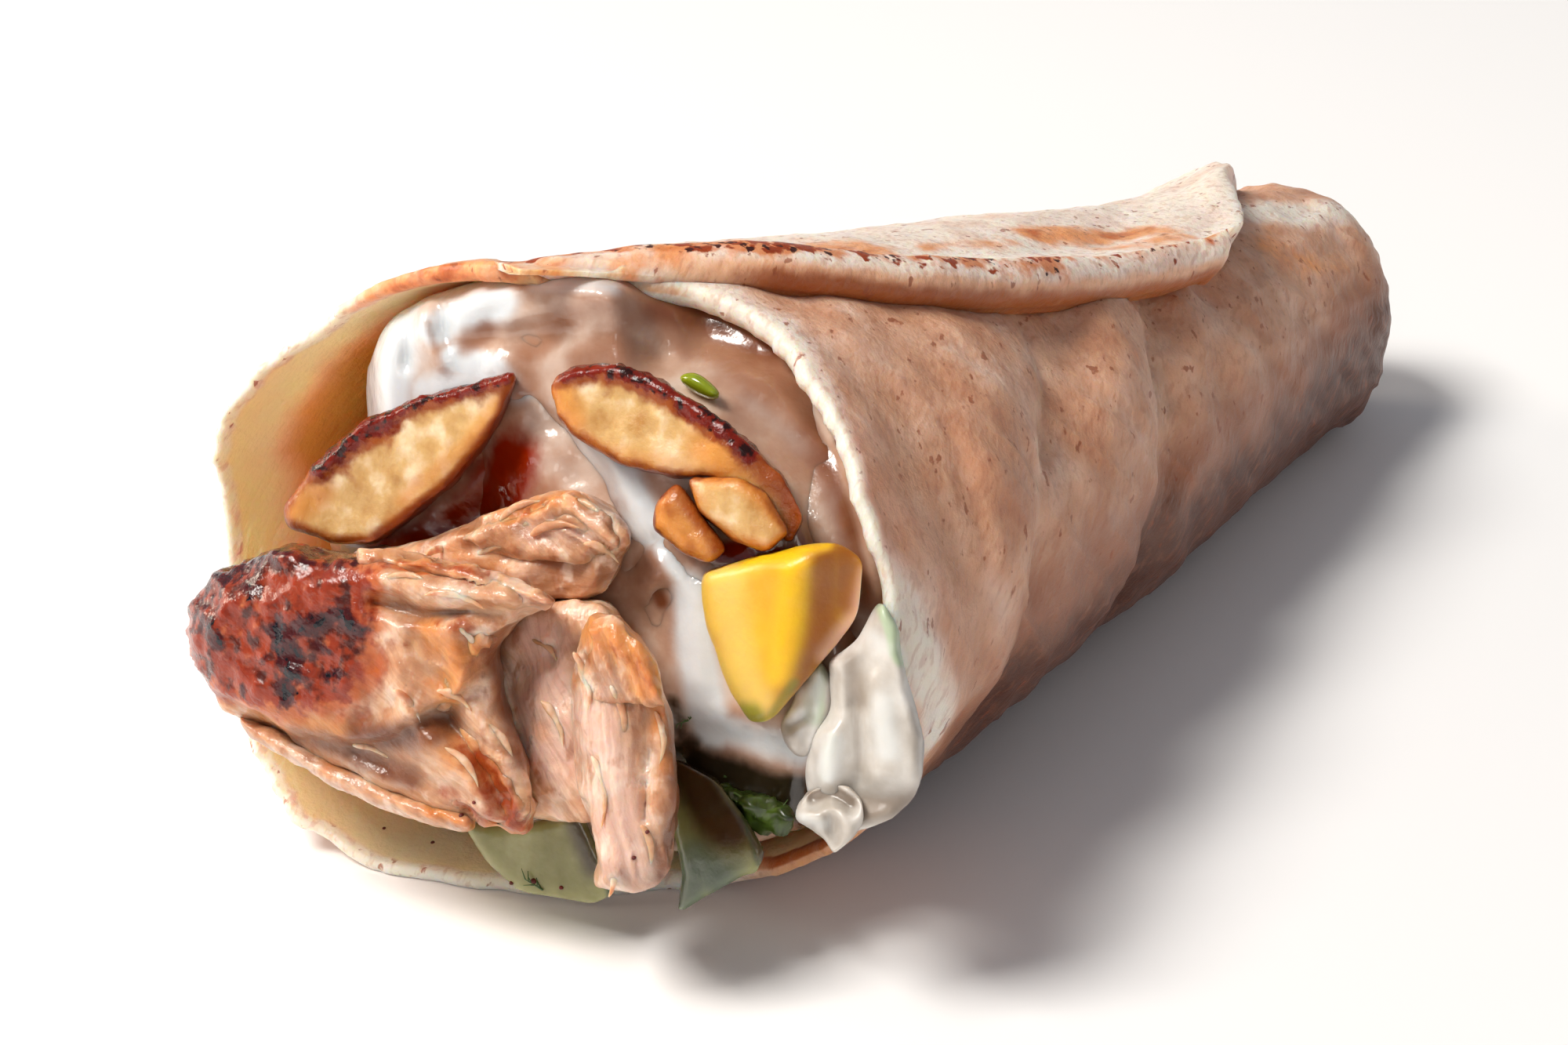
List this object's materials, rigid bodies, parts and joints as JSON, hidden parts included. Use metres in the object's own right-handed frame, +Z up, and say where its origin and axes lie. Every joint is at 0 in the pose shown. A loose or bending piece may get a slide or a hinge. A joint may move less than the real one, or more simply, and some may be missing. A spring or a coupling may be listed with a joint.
{
  "type": "gyro wrap",
  "caption": "Gyro wrap lying on its side: a flatbread rolled into a cone round grilled chicken, potato wedges, yellow pepper, cucumber, cabbage and yoghurt sauce.",
  "frame": {"origin": "on the table under the middle of the whole wrap's bounding box", "axes": "+X along the wrap from its open mouth to its closed tail, +Z up, -Y towards the side whose bread shows below the flap's free edge"},
  "size_m": [0.2005, 0.0996, 0.0801],
  "materials": {
    "bread": "matt baked flatbread, floury with toasted spots",
    "sauce": "wet yoghurt sauce",
    "chicken": "cooked chicken, moist, charred at one end",
    "potato": "fried potato with a browned skin",
    "pepper": "fresh cut pepper",
    "cabbage": "leaf coated in sauce",
    "lettuce": "fresh leaf",
    "cucumber": "fresh cut cucumber with its skin",
    "pickle": "pickled pepper"
  },
  "bodies": {
    "root": {"flatbread": "bread", "sauced_filling": "sauce", "chicken_charred": "chicken", "chicken_torn": "chicken", "chicken_back": "chicken", "chicken_strip": "chicken", "chicken_slice": "chicken", "potato_wedge_far": "potato", "potato_wedge_near": "potato", "potato_chunk": "potato", "potato_bit": "potato", "yellow_pepper": "pepper", "cabbage_leaf": "cabbage", "lettuce_bit": "lettuce", "cucumber_far": "cucumber", "cucumber_near": "cucumber", "pickle": "pickle"}
  },
  "joints": []
}
